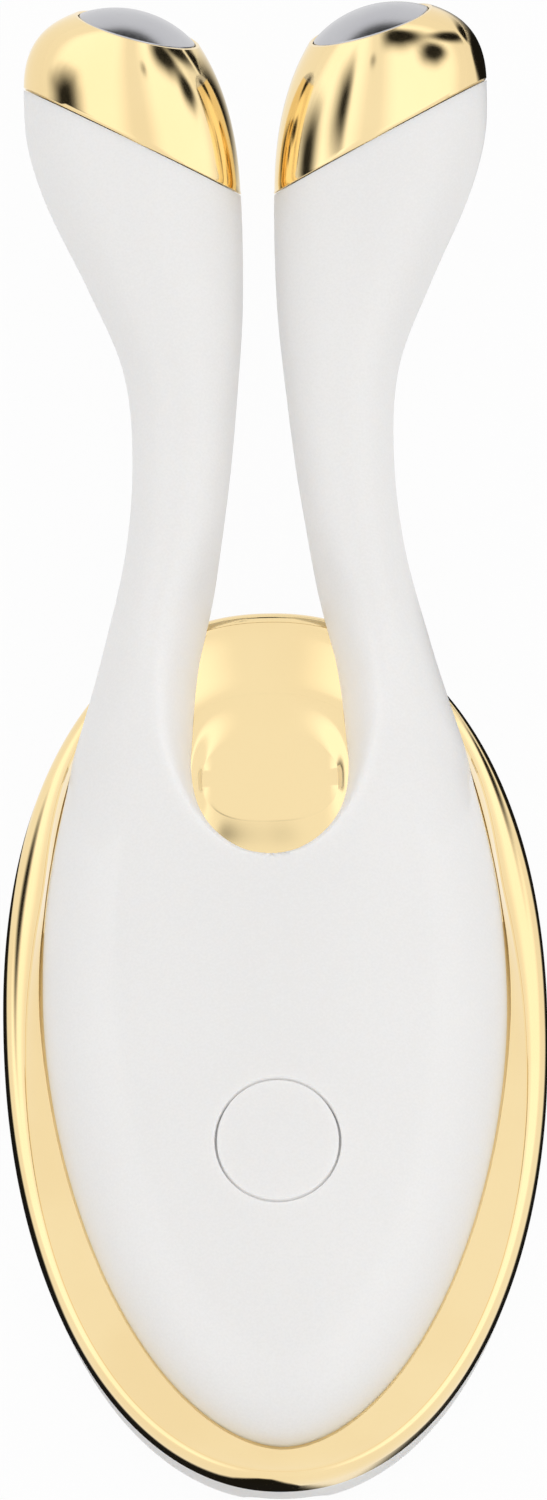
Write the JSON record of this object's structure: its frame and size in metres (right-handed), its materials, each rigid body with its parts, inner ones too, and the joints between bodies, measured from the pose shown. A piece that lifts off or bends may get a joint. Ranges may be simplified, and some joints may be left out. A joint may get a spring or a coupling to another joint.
{
  "type": "facial lifting device",
  "caption": "Handheld facial lifting device: white two-armed body in a gold oval bezel, with gold head caps, domed steel electrodes and a round flush power button.",
  "frame": {"origin": "on the flat back the device rests on, under the widest line of the gold oval", "axes": "+Z out of the front with the button, +Y towards the electrodes, +X to the right seen from the front"},
  "size_m": [0.0598, 0.1653, 0.0405],
  "materials": {
    "white_shell": "fine soft-touch grain",
    "gold_plate": "gold electroplate, mirror polished",
    "electrode_steel": "polished",
    "grey_silicone": "moulded silicone",
    "board_green": "solder mask",
    "component_dark": "moulded packages",
    "plated_metal": "bright plated",
    "lead_sleeve": "silicone sleeve",
    "battery_film": "laminated foil pouch",
    "tungsten_weight": "sintered",
    "cradle_plastic": "moulded"
  },
  "bodies": {
    "housing": {"front_shell": "white_shell", "arm_back_left": "white_shell", "arm_back_right": "white_shell", "bezel_tray": "gold_plate", "rear_shell": "white_shell", "seam_gasket": "grey_silicone", "head_cap_left": "gold_plate", "head_cap_right": "gold_plate", "electrode_left": "electrode_steel", "electrode_right": "electrode_steel", "electrode_gasket_left": "grey_silicone", "electrode_gasket_right": "grey_silicone", "electrode_nut_left": "plated_metal", "electrode_nut_right": "plated_metal", "electrode_lead_left": "lead_sleeve", "electrode_lead_right": "lead_sleeve", "switch_body": "plated_metal", "main_board": "board_green", "board_parts": "component_dark", "board_screws": "plated_metal", "battery": "battery_film", "battery_pad": "grey_silicone", "motor_can": "plated_metal", "motor_cradle": "cradle_plastic", "charge_board": "board_green", "usb_c_port": "plated_metal", "housing_screws": "plated_metal", "screw_plugs": "grey_silicone"},
    "button": {"button_cap": "white_shell", "switch_plunger": "component_dark"},
    "rotor": {"motor_shaft": "plated_metal", "eccentric_weight": "tungsten_weight"}
  },
  "joints": [
    {"name": "button_press", "type": "slide", "parent": "housing", "child": "button", "axis": [0, 0, -1], "range_m": [0, 0.0006], "stiffness_N_per_m": 800, "springref_m": -0.0005},
    {"name": "motor_spin", "type": "hinge", "parent": "housing", "child": "rotor", "pos_m": [0, -0.0195, 0.0072], "axis": [0, 1, 0], "continuous": true}
  ]
}
